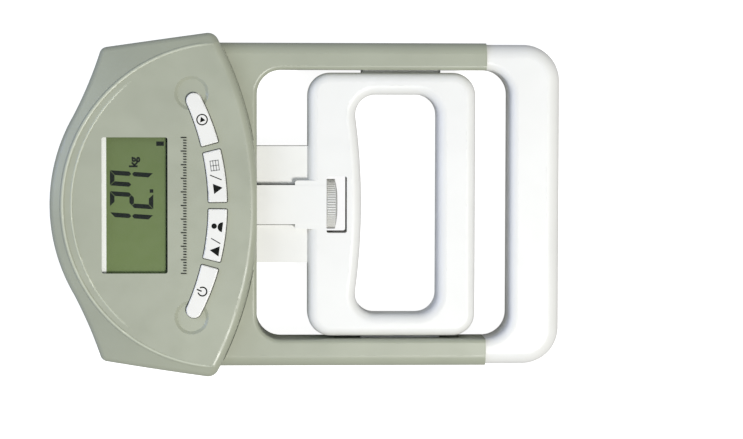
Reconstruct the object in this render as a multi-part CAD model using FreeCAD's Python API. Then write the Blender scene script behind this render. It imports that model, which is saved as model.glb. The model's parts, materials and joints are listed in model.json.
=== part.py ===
import FreeCAD, Part

import math
import os

from FreeCAD import Vector

# Hand-grip dynamometer lying on its back, in millimetres. +X runs from the display head to the palm
# bar, +Z comes out of the display face, Y = 0 is the plane of symmetry and the rear face is Z = 0.

# ---------------------------------------------------------------- driving dimensions
WALL = 2.2
SPLIT = 11.0            # height of the seam between front and rear mouldings, and of the rod's axis
HEAD_TOP = 27.2
ARM_TOP = 22.0
PALM_TOP = 21.6
REAR_ROUND = 2.0
FIT = 0.1               # gap between two mouldings that lie against each other
RUN = 0.05              # radial gap of a running fit

# Head outline. The nose is an arc, the flanks are slightly hollow, and the right side is a long arc.
NOSE_CENTRE_X = -28.5
NOSE_R = 66.0
NOSE_HALF = 33.0
FLANK_VIA = (-80.5, 44.1)
CORNER = (-75.6, 58.0)
SHOULDER = (-34.0, 63.85)
SEAM_CENTRE_X = -149.5
SEAM_R = 132.0
SEAM_LAP = 2.5          # how far the frame shell runs under the head cover
SEAM_LINE_FROM = 24.0   # the shadow line along the seam starts at this |Y|
RIM_CENTRE_X = -30.0    # circle where the flat face ends and the flanks begin to fall
RIM_R = 59.6
RIM_FALL = math.tan(math.radians(27.0))
RIM_ROUND = 3.0
BEAD_RISE = 0.4         # raised line along that circle
INNER_BEAD_X = -27.9    # a fainter one beside it, on the nose's side of the display
INNER_BEAD_R = 58.4
INNER_BEAD_RISE = 0.25

# Frame: two arms and the palm bar round one opening.
ARM_OUT = 60.0
ARM_IN = 50.0
OPENING_LEFT = -18.2
ARM_END = 67.0
PALM_IN = 76.0
PALM_OUT = 94.5
PALM_HALF = 59.5
OPENING_R = 9.0
PALM_CORNER_R = 13.5

# Display window in the head.
LCD_LEFT = -75.2
LCD_RIGHT = -51.0
LCD_HALF = 25.05
LCD_STRIP = 1.65        # white strip of the holder that shows at the window's left side
LIP = 1.0

# Keys lie between two arcs that close in on each other towards the end keys. Their ends point at
# (KEY_CENTRE_X, 0); angles in degrees from +X.
KEY_CENTRE_X = -116.1
KEY_OUTER_R = 87.0
KEY_INNER_CENTRE_X = -128.6
KEY_INNER_R = 92.55
KEY_CORNER_R = 0.5
KEY_TOP = 28.0
KEY_GAP = 0.3
KEY_ANGLES = {
    "key_start": (15.6, 27.3),
    "key_down": (0.85, 13.9),
    "key_up": (-0.85, -13.9),
    "key_on_set": (-15.6, -27.3),
}
DIMPLE = (-42.2, 41.25)  # round finger recess at each end key's tip
DIMPLE_R = 6.3
DIMPLE_WALL = 1.1
DIMPLE_DEPTH = 0.8

# Electronics stack, heights.
PCB_LOW = 17.6
PCB_TOP = 19.2
GLASS_LOW = 22.4
GLASS_TOP = 24.6

# Finger grip.
GRIP_LEFT = 0.8
THRUST_WALL = 1.5
GRIP_RIGHT = 63.2
GRIP_HALF = 49.0
GRIP_LOW = 2.0
GRIP_TOP = 20.0
GRIP_CORNER_R = 8.5
HOLE_LEFT = 17.2
HOLE_BULGE = 20.7
HOLE_RIGHT = 49.0
HOLE_HALF = 40.8
HOLE_CORNER_R = 7.5
BOSS_LEFT = -4.0
BOSS_HALF = 9.0
WINDOW_LEFT = 7.7
WINDOW_RIGHT = 15.3
WINDOW_HALF = 10.5

# Neck and guide plate, moulded with the grip; they run in and out of the head.
NECK_HALF = 7.25
NECK_LEFT = -21.9
NECK_LOW = 5.0
NECK_TOP = 20.2
PLATE_HALF = 21.7
PLATE_LEFT = -26.0
PLATE_THICK = 11.0
GROOVE_DEEP = 1.2

# Rod and wheel, about the rod's axis (Y = 0, Z = SPLIT).
ROD_R = 3.0
ROD_LEFT = -55.6
ROD_RIGHT = 11.9
WHEEL_R = 9.3
WHEEL_LEFT = WINDOW_LEFT + RUN
WHEEL_THICK = 4.4
WHEEL_DOME = 1.1        # how far the wheel's free face bulges
WHEEL_TEETH = 60
INSERT_R = 4.6
INSERT_THICK = 4.0
RUNNER_LEFT = 20.7
RUNNER_RIGHT = 50.4
RUNNER_OUT = 51.6
RUNNER_HALF_Z = 2.8

# Load path in the head.
STRAP_IN = 53.5
STRAP_THICK = 3.0
STRAP_LEFT = -64.0
STRAP_RIGHT = 86.5
STRAP_LOW = 5.0
STRAP_TOP = 17.0
BAR_LEFT = -62.2
BAR_THICK = 6.0
CELL_LEFT = -48.0
CELL_THICK = 12.0
CELL_FREE = -9.0
CELL_FIXED = 46.0
CELL_BOLTS_Y = (32.0, 40.0)
SQUEEZE_GAP = 0.35      # play between the rod's nut and the load cell

# Battery well.
WELL_LEFT = -85.8
WELL_RIGHT = -63.8
WELL_HALF = 25.6
WELL_TOP = 13.6
BATTERY_R = 5.2
BATTERY_X = (-80.3, -69.5)
HINGE_X = -65.0
HINGE_Z = 0.95
DOOR_GAP = 0.25

REAR_SCREWS = ((-76.0, 44.0), (-33.0, 47.0), (-23.4, 40.0))
PALM_SCREWS = ((89.4, 38.0), (89.4, 13.0))
GRIP_SCREWS = ((9.0, 33.0), (56.2, 41.6))
PCB_SCREWS = ((-73.5, 32.0), (-30.5, 33.0))
SCREW_R = 1.25
SCREW_HEAD_R = 2.5
POST_R = 2.8
RECESS_R = 2.7
RECESS_DEEP = 2.6

UP = Vector(0, 0, 1)
ALONG = Vector(1, 0, 0)
ACROSS = Vector(0, 1, 0)


# ---------------------------------------------------------------- helpers
def at(x, y, z=0.0):
    return Vector(x, y, z)


def outline(*steps):
    """Closed wire. A step is a point reached by a straight line, or (via, point) reached by an arc."""
    edges = []
    here = at(*steps[0])
    for step in steps[1:] + (steps[0],):
        curved = isinstance(step[0], tuple)
        there = at(*(step[1] if curved else step))
        if curved:
            edges.append(Part.Arc(here, at(*step[0]), there).toShape())
        elif there.distanceToPoint(here) > 1e-6:
            edges.append(Part.makeLine(here, there))
        here = there
    return Part.Wire(edges)


def prism(wire, low, high):
    face = Part.Face(wire)
    face.translate(at(0, 0, low))
    return face.extrude(at(0, 0, high - low))


def grown(wire, distance):
    """The same closed outline, moved outwards by distance, or inwards when it is negative."""
    return wire.makeOffset2D(distance, 0, False, False, False)


def block(x0, x1, y0, y1, z0, z1):
    return Part.makeBox(x1 - x0, y1 - y0, z1 - z0, at(x0, y0, z0))


def rod(radius, start, end):
    """Round bar between two points."""
    line = end.sub(start)
    return Part.makeCylinder(radius, line.Length, start, line)


def tube_along_x(radius, x0, x1, bore=0.0):
    bar = rod(radius, at(x0, 0, SPLIT), at(x1, 0, SPLIT))
    if bore:
        bar = bar.cut(rod(bore, at(x0 - 1, 0, SPLIT), at(x1 + 1, 0, SPLIT)))
    return bar


def joined(shapes):
    shapes = list(shapes)
    return shapes[0].multiFuse(shapes[1:]).removeSplitter() if len(shapes) > 1 else shapes[0]


def both_sides(shape):
    """The shape and its mirror image across Y = 0."""
    return [shape, shape.mirror(at(0, 0), ACROSS)]


def rounded(solid, radius, wanted):
    """Fillet the edges for which wanted(edge) is true."""
    edges = [edge for edge in solid.Edges if wanted(edge)]
    return solid.makeFillet(radius, edges)


def upright_near(places):
    """Picks the vertical edges that stand at the given (x, y) places."""
    def wanted(edge):
        box = edge.BoundBox
        if box.XLength > 1e-3 or box.YLength > 1e-3:
            return False
        return any(math.hypot(box.XMin - x, box.YMin - y) < 0.5 for x, y in places)
    return wanted


def level_at(height):
    """Picks the edges that lie flat at a height."""
    def wanted(edge):
        box = edge.BoundBox
        return abs(box.ZMin - height) < 1e-3 and abs(box.ZMax - height) < 1e-3
    return wanted


def rectangle(x0, x1, half_y, radius):
    """Rounded rectangle outline, symmetric about Y = 0."""
    face = Part.makePlane(x1 - x0, 2 * half_y, at(x0, -half_y))
    solid = face.extrude(UP)
    upright = [edge for edge in solid.Edges if edge.BoundBox.ZLength > 0.5]
    solid = solid.makeFillet(radius, upright)
    bottom = [face for face in solid.Faces if face.BoundBox.ZMax < 1e-6][0]
    return bottom.OuterWire


def hex_nut(x0, thick, across_flats, bore):
    """Hexagon nut whose axis is the rod's axis."""
    reach = across_flats / math.sqrt(3)
    points = [at(0, reach * math.cos(math.radians(a)), reach * math.sin(math.radians(a)))
              for a in range(0, 361, 60)]
    face = Part.Face(Part.makePolygon(points))
    nut = face.extrude(at(thick, 0, 0))
    nut.translate(at(x0, 0, SPLIT))
    return nut.cut(rod(bore, at(x0 - 1, 0, SPLIT), at(x0 + thick + 1, 0, SPLIT)))


def wire_tube(radius, points):
    """Insulated wire that runs smoothly through the points."""
    curve = Part.BSplineCurve()
    curve.interpolate([at(*point) for point in points])
    path = Part.Wire(curve.toShape())
    start = curve.value(curve.FirstParameter)
    heading = curve.tangent(curve.FirstParameter)[0]
    section = Part.Wire(Part.makeCircle(radius, start, heading))
    return path.makePipeShell([section], True, False)


# ---------------------------------------------------------------- shared outlines and forms
def seam_x(y):
    return SEAM_CENTRE_X + math.sqrt(SEAM_R ** 2 - y ** 2)


def head_outline():
    nose_x = NOSE_CENTRE_X - math.sqrt(NOSE_R ** 2 - NOSE_HALF ** 2)
    flat_half = math.sqrt(SEAM_R ** 2 - (OPENING_LEFT - SEAM_CENTRE_X) ** 2)
    middle = (SHOULDER[1] + flat_half) / 2
    return outline(
        (nose_x, -NOSE_HALF),
        ((NOSE_CENTRE_X - NOSE_R, 0.0), (nose_x, NOSE_HALF)),
        (FLANK_VIA, CORNER),
        SHOULDER,
        ((seam_x(middle), middle), (OPENING_LEFT, flat_half)),
        (OPENING_LEFT, -flat_half),
        ((seam_x(middle), -middle), (SHOULDER[0], -SHOULDER[1])),
        (CORNER[0], -CORNER[1]),
        ((FLANK_VIA[0], -FLANK_VIA[1]), (nose_x, -NOSE_HALF)),
    )


def head_prism(low, high):
    solid = prism(head_outline(), low, high)
    places = [(CORNER[0], CORNER[1]), (CORNER[0], -CORNER[1])]
    solid = rounded(solid, 3.0, upright_near(places))
    places = [(SHOULDER[0], SHOULDER[1]), (SHOULDER[0], -SHOULDER[1])]
    return rounded(solid, 4.0, upright_near(places))


def head_base():
    """The head's outline with its corners rounded."""
    return [face for face in head_prism(0, 1).Faces if face.BoundBox.ZMax < 1e-3][0].OuterWire


def head_form(inset):
    """The head's front form, z from SPLIT up; inset is the distance inside the outer surface."""
    top = HEAD_TOP - inset
    solid = prism(grown(HEAD_BASE, -inset), SPLIT, top) if inset else head_prism(SPLIT, top)
    depth = top - SPLIT + 5.0
    rise = 10.0
    foot = at(RIM_CENTRE_X, 0, top - depth)
    cone = Part.makeCone(RIM_R + depth / RIM_FALL, RIM_R - rise / RIM_FALL, depth + rise, foot)
    return solid.common(cone)


def bead(centre_x, radius, rise, slope, end_x):
    """Raised line along a circle of the face: the top of a ring that sinks slowly into the surface."""
    thick = 2.5 * rise
    ring = Part.makeTorus(radius, thick, at(centre_x, 0, HEAD_TOP + rise - thick))
    left = centre_x - radius
    ring.rotate(at(left, 0, HEAD_TOP), ACROSS, math.degrees(slope))
    return ring.common(block(left - 2, end_x, -radius, radius, SPLIT, HEAD_TOP + 2))


def opening_wire():
    """The frame's one opening, from the head to the palm bar."""
    return rectangle(OPENING_LEFT, PALM_IN, ARM_IN, OPENING_R)


def arm_region(low, high, left_r=None):
    """Solid grey frame: shoulders and arms, without the opening. left_r trims its head end to an arc."""
    solid = block(-45.0, ARM_END, -ARM_OUT, ARM_OUT, low, high)
    if left_r:
        solid = solid.cut(Part.makeCylinder(left_r, high - low, at(SEAM_CENTRE_X, 0, low)))
    return solid.cut(prism(opening_wire(), low - 1, high + 1))


def grip_passage():
    """Room that the guide plate and neck need where they enter the head."""
    half = PLATE_THICK / 2 + 0.2
    plate = block(-36.0, OPENING_LEFT + 1, -PLATE_HALF - 0.3, PLATE_HALF + 0.3, SPLIT - half, SPLIT + half)
    half = NECK_HALF + 0.25
    return plate.fuse(block(-30.0, OPENING_LEFT + 1, -half, half, NECK_LOW - 0.25, NECK_TOP + 0.25))


def runner_slots():
    half = RUNNER_HALF_Z + 0.3
    return joined(both_sides(block(11.0, 58.0, ARM_IN - 1, ARM_IN + WALL + 0.3, SPLIT - half, SPLIT + half)))


def post(x, y, low, high):
    return Part.makeCylinder(POST_R, high - low, at(x, y, low))


def screw_hole(x, y, low, high):
    return Part.makeCylinder(SCREW_R + 0.03, high - low, at(x, y, low))


def screw_recess(x, y, low):
    return Part.makeCylinder(RECESS_R, RECESS_DEEP, at(x, y, low))


def rear_screw(x, y, low, top):
    """Pan-head screw put in from behind; the cross slot is cut in its head."""
    head_low = low + RECESS_DEEP - 1.7
    head = Part.makeCylinder(SCREW_HEAD_R, 1.7, at(x, y, head_low))
    head = head.makeFillet(0.6, [edge for edge in head.Edges if edge.BoundBox.ZMax < head_low + 1e-3])
    shank = Part.makeCylinder(SCREW_R, top - head_low - 1.0, at(x, y, head_low + 1.0))
    cross = block(x - 1.5, x + 1.5, y - 0.3, y + 0.3, head_low - 1, head_low + 0.9)
    cross = cross.fuse(block(x - 0.3, x + 0.3, y - 1.5, y + 1.5, head_low - 1, head_low + 0.9))
    return head.fuse(shank).cut(cross)


def mirrored(places):
    return [(x, sign * y) for x, y in places for sign in (1, -1)]


def group(shapes):
    return Part.makeCompound(list(shapes))


# ---------------------------------------------------------------- keys
def on_key_arc(angle, centre_x, radius):
    """Where the ray at an angle from (KEY_CENTRE_X, 0) meets a circle about (centre_x, 0)."""
    turn = math.radians(angle)
    shift = centre_x - KEY_CENTRE_X
    reach = shift * math.cos(turn) + math.sqrt(radius ** 2 - (shift * math.sin(turn)) ** 2)
    return KEY_CENTRE_X + reach * math.cos(turn), reach * math.sin(turn)


def key_inner(angle):
    return on_key_arc(angle, KEY_INNER_CENTRE_X, KEY_INNER_R)


def key_outer(angle):
    return on_key_arc(angle, KEY_CENTRE_X, KEY_OUTER_R)


def key_wire(name, grow=0.0):
    """Outline of one key between the two arcs; the two end keys close in a round tip."""
    first, last = KEY_ANGLES[name]
    middle = (first + last) / 2
    tip = name in ("key_start", "key_on_set")
    last_step = key_inner(last)
    if tip:
        (x0, y0), (x1, y1) = key_inner(last), key_outer(last)
        via = ((x0 + x1) / 2 - abs(y1 - y0) / 2, (y0 + y1) / 2 + math.copysign((x1 - x0) / 2, last))
        last_step = (via, key_inner(last))
    wire = outline(
        key_inner(first),
        key_outer(first),
        (key_outer(middle), key_outer(last)),
        last_step,
        (key_inner(middle), key_inner(first)),
    )
    solid = Part.Face(wire).extrude(UP)
    corners = [key_inner(first), key_outer(first)] + ([] if tip else [key_inner(last), key_outer(last)])
    solid = rounded(solid, KEY_CORNER_R, upright_near(corners))
    base = [face for face in solid.Faces if face.BoundBox.ZMax < 1e-6][0]
    return grown(base.OuterWire, grow) if grow else base.OuterWire


def key_centre(name):
    middle = sum(KEY_ANGLES[name]) / 2
    (x0, y0), (x1, y1) = key_inner(middle), key_outer(middle)
    return (x0 + x1) / 2, (y0 + y1) / 2


def key_cap(name):
    flange_top = HEAD_TOP - WALL - 0.1
    cap = prism(key_wire(name), flange_top - 0.9, KEY_TOP)
    cap = rounded(cap, 0.5, level_at(KEY_TOP))
    flange = prism(key_wire(name, 0.9), flange_top - 0.8, flange_top)
    x, y = key_centre(name)
    peg = Part.makeCylinder(1.6, 2.0, at(x, y, flange_top - 2.4))
    return joined([cap, flange, peg])


def switch_stem(name):
    x, y = key_centre(name)
    return Part.makeCylinder(1.7, 1.7, at(x, y, 20.75))


def switch_bodies():
    bodies = []
    for name in KEY_ANGLES:
        x, y = key_centre(name)
        can = block(x - 3.0, x + 3.0, y - 3.0, y + 3.0, PCB_TOP, PCB_TOP + 2.4)
        bodies.append(can.cut(Part.makeCylinder(1.75, 3.0, at(x, y, PCB_TOP + 0.8))))
    return group(bodies)


# ---------------------------------------------------------------- head and frame mouldings
def seam_disc():
    """Disc whose rounded edge gives the cover its round edge along the seam."""
    disc = Part.makeCylinder(SEAM_R, HEAD_TOP, at(SEAM_CENTRE_X, 0, 0))
    return rounded(disc, RIM_ROUND, level_at(HEAD_TOP))


def front_cover():
    shell = rounded(head_form(0.0), RIM_ROUND, is_outer_rim).common(seam_disc())
    beads = [bead(RIM_CENTRE_X, RIM_R, BEAD_RISE, 0.0062, -34.0),
             bead(INNER_BEAD_X, INNER_BEAD_R, INNER_BEAD_RISE, 0.010, -64.0)]
    shell = shell.multiFuse(beads).cut(head_form(WALL))
    frame_room = arm_region(SPLIT - 1, ARM_TOP + FIT, SEAM_R - SEAM_LAP - FIT)
    shell = shell.cut(frame_room)
    window = rectangle(LCD_LEFT, LCD_RIGHT, LCD_HALF, 0.8)
    shell = shell.cut(prism(window, HEAD_TOP - 5, HEAD_TOP + 1))
    shell = shell.cut(prism(grown(window, 1.5), HEAD_TOP - 5, HEAD_TOP - LIP))
    for x, y in mirrored([DIMPLE]):
        foot = at(x, y, HEAD_TOP - DIMPLE_DEPTH)
        shell = shell.cut(Part.makeCone(DIMPLE_R - DIMPLE_WALL, DIMPLE_R, DIMPLE_DEPTH, foot))
    posts = [post(x, y, SPLIT + FIT, HEAD_TOP - WALL + 0.5) for x, y in mirrored(REAR_SCREWS[:2])]
    posts += [Part.makeCylinder(2.3, 6.3, at(x, y, PCB_TOP + 0.05)) for x, y in mirrored(PCB_SCREWS)]
    inner_form = head_form(1.2)
    shell = shell.multiFuse([one.common(inner_form) for one in posts])
    holes = [screw_hole(x, y, SPLIT - 1, 21.0) for x, y in mirrored(REAR_SCREWS[:2])]
    holes += [Part.makeCylinder(1.0, 4.6, at(x, y, PCB_TOP - 0.5)) for x, y in mirrored(PCB_SCREWS)]
    holes += [prism(key_wire(name, KEY_GAP), HEAD_TOP - 5, HEAD_TOP + 1) for name in KEY_ANGLES]
    shell = shell.cut(group(holes))
    well_room = block(WELL_LEFT - 1.3, WELL_RIGHT + 1.3, -WELL_HALF - 1.3, WELL_HALF + 1.3, 0, WELL_TOP + 1.3)
    return shell.cut(grip_passage()).cut(well_room)


def is_outer_rim(edge):
    """True for the flanks' and nose's top edge: on the outline, high up, and not upright."""
    box = edge.BoundBox
    if not 15.0 < box.ZMin < HEAD_TOP - 0.1 or box.ZLength > 0.95 * max(box.XLength, box.YLength, 1e-6):
        return False
    middle = edge.valueAt((edge.FirstParameter + edge.LastParameter) / 2)
    flat = Part.Vertex(middle.x, middle.y, 0)
    return flat.distToShape(HEAD_BASE)[0] < 0.05


def seam_groove():
    """Shadow line in the frame's top, just outside the head cover's edge."""
    ring = Part.makeCylinder(SEAM_R + 0.35, 2.0, at(SEAM_CENTRE_X, 0, ARM_TOP - 0.6))
    ring = ring.cut(Part.makeCylinder(SEAM_R - 0.4, 2.0, at(SEAM_CENTRE_X, 0, ARM_TOP - 0.6)))
    return ring.common(joined(both_sides(block(-40, -15, SEAM_LINE_FROM, ARM_OUT + 1, 0, ARM_TOP + 1))))


def frame_front_shell():
    solid = arm_region(SPLIT, ARM_TOP, SEAM_R - SEAM_LAP)
    outer = [edge for edge in solid.Edges if is_arm_edge(edge, ARM_OUT)]
    solid = solid.makeFillet(4.0, outer)
    rim = [edge for edge in solid.Edges if is_opening_edge(edge)]
    solid = solid.makeFillet(1.5, rim)
    hollow = arm_hollow(SPLIT - 1, ARM_TOP - WALL)
    solid = solid.cut(hollow)
    posts = [post(x, y, SPLIT, ARM_TOP - 1.0) for x, y in mirrored(REAR_SCREWS[2:])]
    solid = solid.multiFuse(posts)
    holes = [screw_hole(x, y, SPLIT - 1, 19.0) for x, y in mirrored(REAR_SCREWS[2:])]
    for hole in holes + [seam_groove(), grip_passage(), runner_slots()]:
        solid = solid.cut(hole)
    return solid


def is_arm_edge(edge, half_y):
    box = edge.BoundBox
    return abs(box.ZMin - ARM_TOP) < 1e-3 and abs(abs(box.Center.y) - half_y) < 1e-3 and box.XLength > 20


def is_opening_edge(edge):
    """Top edge of the opening: the straight and round stretches at ARM_TOP inside the arms."""
    box = edge.BoundBox
    if abs(box.ZMin - ARM_TOP) > 1e-3 or abs(box.ZMax - ARM_TOP) > 1e-3:
        return False
    inside = max(abs(box.YMin), abs(box.YMax)) < ARM_IN + 0.1
    return inside and box.XMin > OPENING_LEFT - 0.1


def arm_hollow(low, high):
    """Space inside the shoulders and arms, a wall's thickness in from every outer face."""
    inside = block(-60.0, ARM_END + 1, -ARM_OUT + WALL, ARM_OUT - WALL, low, high)
    return inside.cut(prism(grown(opening_wire(), WALL), low - 1, high + 1))


def rear_cover():
    head = head_prism(0, SPLIT)
    solid = head.fuse(arm_region(0, SPLIT)).removeSplitter()
    solid = rounded(solid, REAR_ROUND, rear_outer_edge)
    head_hollow = prism(grown(HEAD_BASE, -WALL), WALL, SPLIT + 1)
    hollow = head_hollow.fuse(arm_hollow(WALL, SPLIT + 1))
    solid = solid.cut(hollow)
    well = block(WELL_LEFT - 1.2, WELL_RIGHT + 1.2, -WELL_HALF - 1.2, WELL_HALF + 1.2, 0, WELL_TOP + 1.2)
    posts = [post(x, y, 1.0, SPLIT) for x, y in mirrored(REAR_SCREWS)]
    solid = solid.multiFuse([well] + posts)
    holes = [block(WELL_LEFT, WELL_RIGHT, -WELL_HALF, WELL_HALF, -1, WELL_TOP)]
    holes += both_sides(rod(0.9, at(HINGE_X, WELL_HALF - 1, HINGE_Z), at(HINGE_X, WELL_HALF + 0.9, HINGE_Z)))
    holes += [screw_hole(x, y, -1, SPLIT + 1) for x, y in mirrored(REAR_SCREWS)]
    holes += [screw_recess(x, y, 0) for x, y in mirrored(REAR_SCREWS)]
    return solid.cut(group(holes)).cut(grip_passage()).cut(runner_slots())


def rear_outer_edge(edge):
    """Bottom edges of the rear moulding, except where it meets the palm bar."""
    box = edge.BoundBox
    if box.ZMax > 1e-3:
        return False
    return box.XMin < ARM_END - 0.1


def palm_region(low, high):
    full = prism(rectangle(ARM_END - 40, PALM_OUT, PALM_HALF, PALM_CORNER_R), low, high)
    keep = block(ARM_END + FIT, PALM_OUT + 1, -PALM_HALF - 1, PALM_HALF + 1, low, high)
    return full.common(keep).cut(prism(opening_wire(), low - 1, high + 1))


def palm_hollow(low, high):
    full = grown(rectangle(ARM_END - 40, PALM_OUT, PALM_HALF, PALM_CORNER_R), -WALL)
    solid = prism(full, low, high).cut(prism(grown(opening_wire(), WALL), low - 1, high + 1))
    return solid.common(block(ARM_END - 1, PALM_OUT, -PALM_HALF, PALM_HALF, low, high))


def strap_room():
    return prism(grown(strap_outer_wire(), 0.2), STRAP_LOW - 0.2, STRAP_TOP + 0.2).cut(
        prism(grown(strap_inner_wire(), -0.2), 0, ARM_TOP))


def palm_bar_half(front):
    low, high = (SPLIT, PALM_TOP) if front else (0.0, SPLIT)
    solid = palm_region(low, high)
    face_z = PALM_TOP if front else 0.0
    outer = [edge for edge in solid.Edges if is_palm_edge(edge, face_z, True)]
    solid = solid.makeFillet(5.0 if front else 3.5, outer)
    inner = [edge for edge in solid.Edges if is_palm_edge(edge, face_z, False)]
    solid = solid.makeFillet(3.0 if front else 2.0, inner)
    solid = solid.cut(palm_hollow(SPLIT - 1, PALM_TOP - WALL) if front else palm_hollow(WALL, SPLIT + 1))
    z0, z1 = (SPLIT, PALM_TOP - 1.0) if front else (1.0, SPLIT)
    posts = [post(x, y, z0, z1) for x, y in mirrored(PALM_SCREWS)]
    ribs = [block(PALM_IN + 1, PALM_OUT - 2, y - 0.8, y + 0.8, z0, z1) for y in (-26.0, 0.0, 26.0)]
    solid = solid.multiFuse(posts + ribs).cut(strap_room())
    holes = [screw_hole(x, y, z0 - 2, 18.5) for x, y in mirrored(PALM_SCREWS)]
    if not front:
        holes += [screw_recess(x, y, 0) for x, y in mirrored(PALM_SCREWS)]
    return solid.cut(group(holes))


def is_palm_edge(edge, height, outer):
    box = edge.BoundBox
    if abs(box.ZMin - height) > 1e-3 or abs(box.ZMax - height) > 1e-3:
        return False
    if box.XLength < 1e-3 and abs(box.XMin - ARM_END - FIT) < 1e-3:
        return False
    on_outside = box.XMax > PALM_IN + 0.5 or max(abs(box.YMin), abs(box.YMax)) > ARM_IN + 1
    return on_outside == outer


# ---------------------------------------------------------------- load path
def strap_outer_wire():
    return rectangle(STRAP_LEFT - 30, STRAP_RIGHT, STRAP_IN + STRAP_THICK, 9.5)


def strap_inner_wire():
    return rectangle(STRAP_LEFT - 40, STRAP_RIGHT - STRAP_THICK, STRAP_IN, 6.5)


def cross_bolt(side, radius, head_r, reach):
    """Countersunk bolt through one leg of the strap into the crossbar's end."""
    x = BAR_LEFT + BAR_THICK / 2
    outer = STRAP_IN + STRAP_THICK
    shank = rod(radius, at(x, side * outer, SPLIT), at(x, side * (outer - reach), SPLIT))
    cone = Part.makeCone(head_r, radius, head_r - radius, at(x, side * outer, SPLIT), at(0, -side, 0))
    return shank.fuse(cone)


def steel_frame():
    strap = prism(strap_outer_wire(), STRAP_LOW, STRAP_TOP).cut(prism(strap_inner_wire(), 0, ARM_TOP))
    strap = strap.common(block(STRAP_LEFT, STRAP_RIGHT + 1, -70, 70, 0, ARM_TOP))
    return strap.cut(group(cross_bolt(side, 1.6, 3.1, 12.0) for side in (1, -1)))


def anchor_crossbar():
    right = BAR_LEFT + BAR_THICK
    bar = block(BAR_LEFT, right, -STRAP_IN + RUN, STRAP_IN - RUN, STRAP_LOW, STRAP_TOP)
    holes = [cross_bolt(side, 1.52, 1.6, 13.0) for side in (1, -1)]
    holes += [rod(2.1, at(BAR_LEFT - 1, y, SPLIT), at(right + 1, y, SPLIT)) for y in CELL_BOLTS_Y]
    return bar.cut(group(holes))


def crossbar_bolts():
    bolts = []
    for side in (1, -1):
        bolt = cross_bolt(side, 1.5, 3.0, 12.5)
        x = BAR_LEFT + BAR_THICK / 2
        outer = side * (STRAP_IN + STRAP_THICK)
        bolts.append(bolt.cut(rod(1.0, at(x, outer, SPLIT), at(x, outer - side * 1.2, SPLIT))))
    return group(bolts)


def load_cell():
    right = CELL_LEFT + CELL_THICK
    beam = block(CELL_LEFT, right, CELL_FREE, CELL_FIXED, STRAP_LOW, STRAP_TOP)
    x = CELL_LEFT + CELL_THICK / 2
    holes = [Part.makeCylinder(4.6, 14.0, at(x, y, STRAP_LOW - 1)) for y in (12.5, 22.5)]
    holes.append(block(x - 1.2, x + 1.2, 12.5, 22.5, STRAP_LOW - 1, STRAP_TOP + 1))
    beam = beam.cut(joined(holes))
    bores = [rod(ROD_R + 0.4, at(CELL_LEFT - 1, 0, SPLIT), at(right + 1, 0, SPLIT))]
    bores += [rod(2.02, at(CELL_LEFT - 1, y, SPLIT), at(right - 1.5, y, SPLIT)) for y in CELL_BOLTS_Y]
    return beam.cut(group(bores))


def load_cell_spacer():
    left = BAR_LEFT + BAR_THICK + 0.02
    spacer = block(left, CELL_LEFT - 0.02, 28.0, 44.0, STRAP_LOW, STRAP_TOP)
    return spacer.cut(group(rod(2.1, at(left - 1, y, SPLIT), at(CELL_LEFT + 1, y, SPLIT))
                            for y in CELL_BOLTS_Y))


def load_cell_bolts():
    bolts = []
    for y in CELL_BOLTS_Y:
        head = rod(3.4, at(BAR_LEFT - 3.6, y, SPLIT), at(BAR_LEFT - 0.02, y, SPLIT))
        shank = rod(2.0, at(BAR_LEFT - 1.0, y, SPLIT), at(CELL_LEFT + 10.0, y, SPLIT))
        socket = rod(1.6, at(BAR_LEFT - 5.0, y, SPLIT), at(BAR_LEFT - 1.6, y, SPLIT))
        bolts.append(head.fuse(shank).cut(socket))
    return group(bolts)


def strain_gauges():
    foils = []
    for x in (CELL_LEFT - 0.16, CELL_LEFT + CELL_THICK + 0.01):
        foils += [block(x, x + 0.15, y - 2.5, y + 2.5, SPLIT - 2.0, SPLIT + 2.0) for y in (12.5, 22.5)]
    return group(foils)


def gauge_cable():
    right = CELL_LEFT + CELL_THICK
    return wire_tube(0.5, [(right + 0.8, 23.0, SPLIT + 2.6), (right + 1.9, 25.0, 15.2),
                           (right + 2.1, 25.6, PCB_LOW - 0.35)])


# ---------------------------------------------------------------- electronics
def main_pcb():
    board = prism(outline((-79.0, -33.0), (-79.0, 33.0), (-72.5, 40.0), (-28.2, 40.0), (-28.2, -40.0),
                          (-72.5, -40.0)), PCB_LOW, PCB_TOP)
    holes = [Part.makeCylinder(1.2, 4.0, at(x, y, PCB_LOW - 1)) for x, y in mirrored(PCB_SCREWS)]
    return board.cut(group(holes))


def pcb_screws():
    screws = []
    for x, y in mirrored(PCB_SCREWS):
        head = Part.makeCylinder(2.0, 1.3, at(x, y, PCB_LOW - 1.32))
        shank = Part.makeCylinder(0.95, 6.5, at(x, y, PCB_LOW - 1.0))
        slot = block(x - 1.2, x + 1.2, y - 0.25, y + 0.25, PCB_LOW - 2, PCB_LOW - 0.8)
        screws.append(head.fuse(shank).cut(slot))
    return group(screws)


def pcb_chips():
    low = PCB_TOP + 0.02
    return group([
        block(-46.5, -39.5, 8.0, 15.0, low, low + 1.1),
        block(-45.5, -40.5, -15.0, -9.0, low, low + 1.4),
        block(-44.5, -41.5, 18.0, 25.0, low, low + 2.4),
    ])


def piezo_buzzer():
    can = Part.makeCylinder(4.5, 3.2, at(-43.0, 0, PCB_TOP + 0.02))
    return can.cut(Part.makeCylinder(0.9, 2.0, at(-43.0, 0, PCB_TOP + 2.0)))


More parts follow.
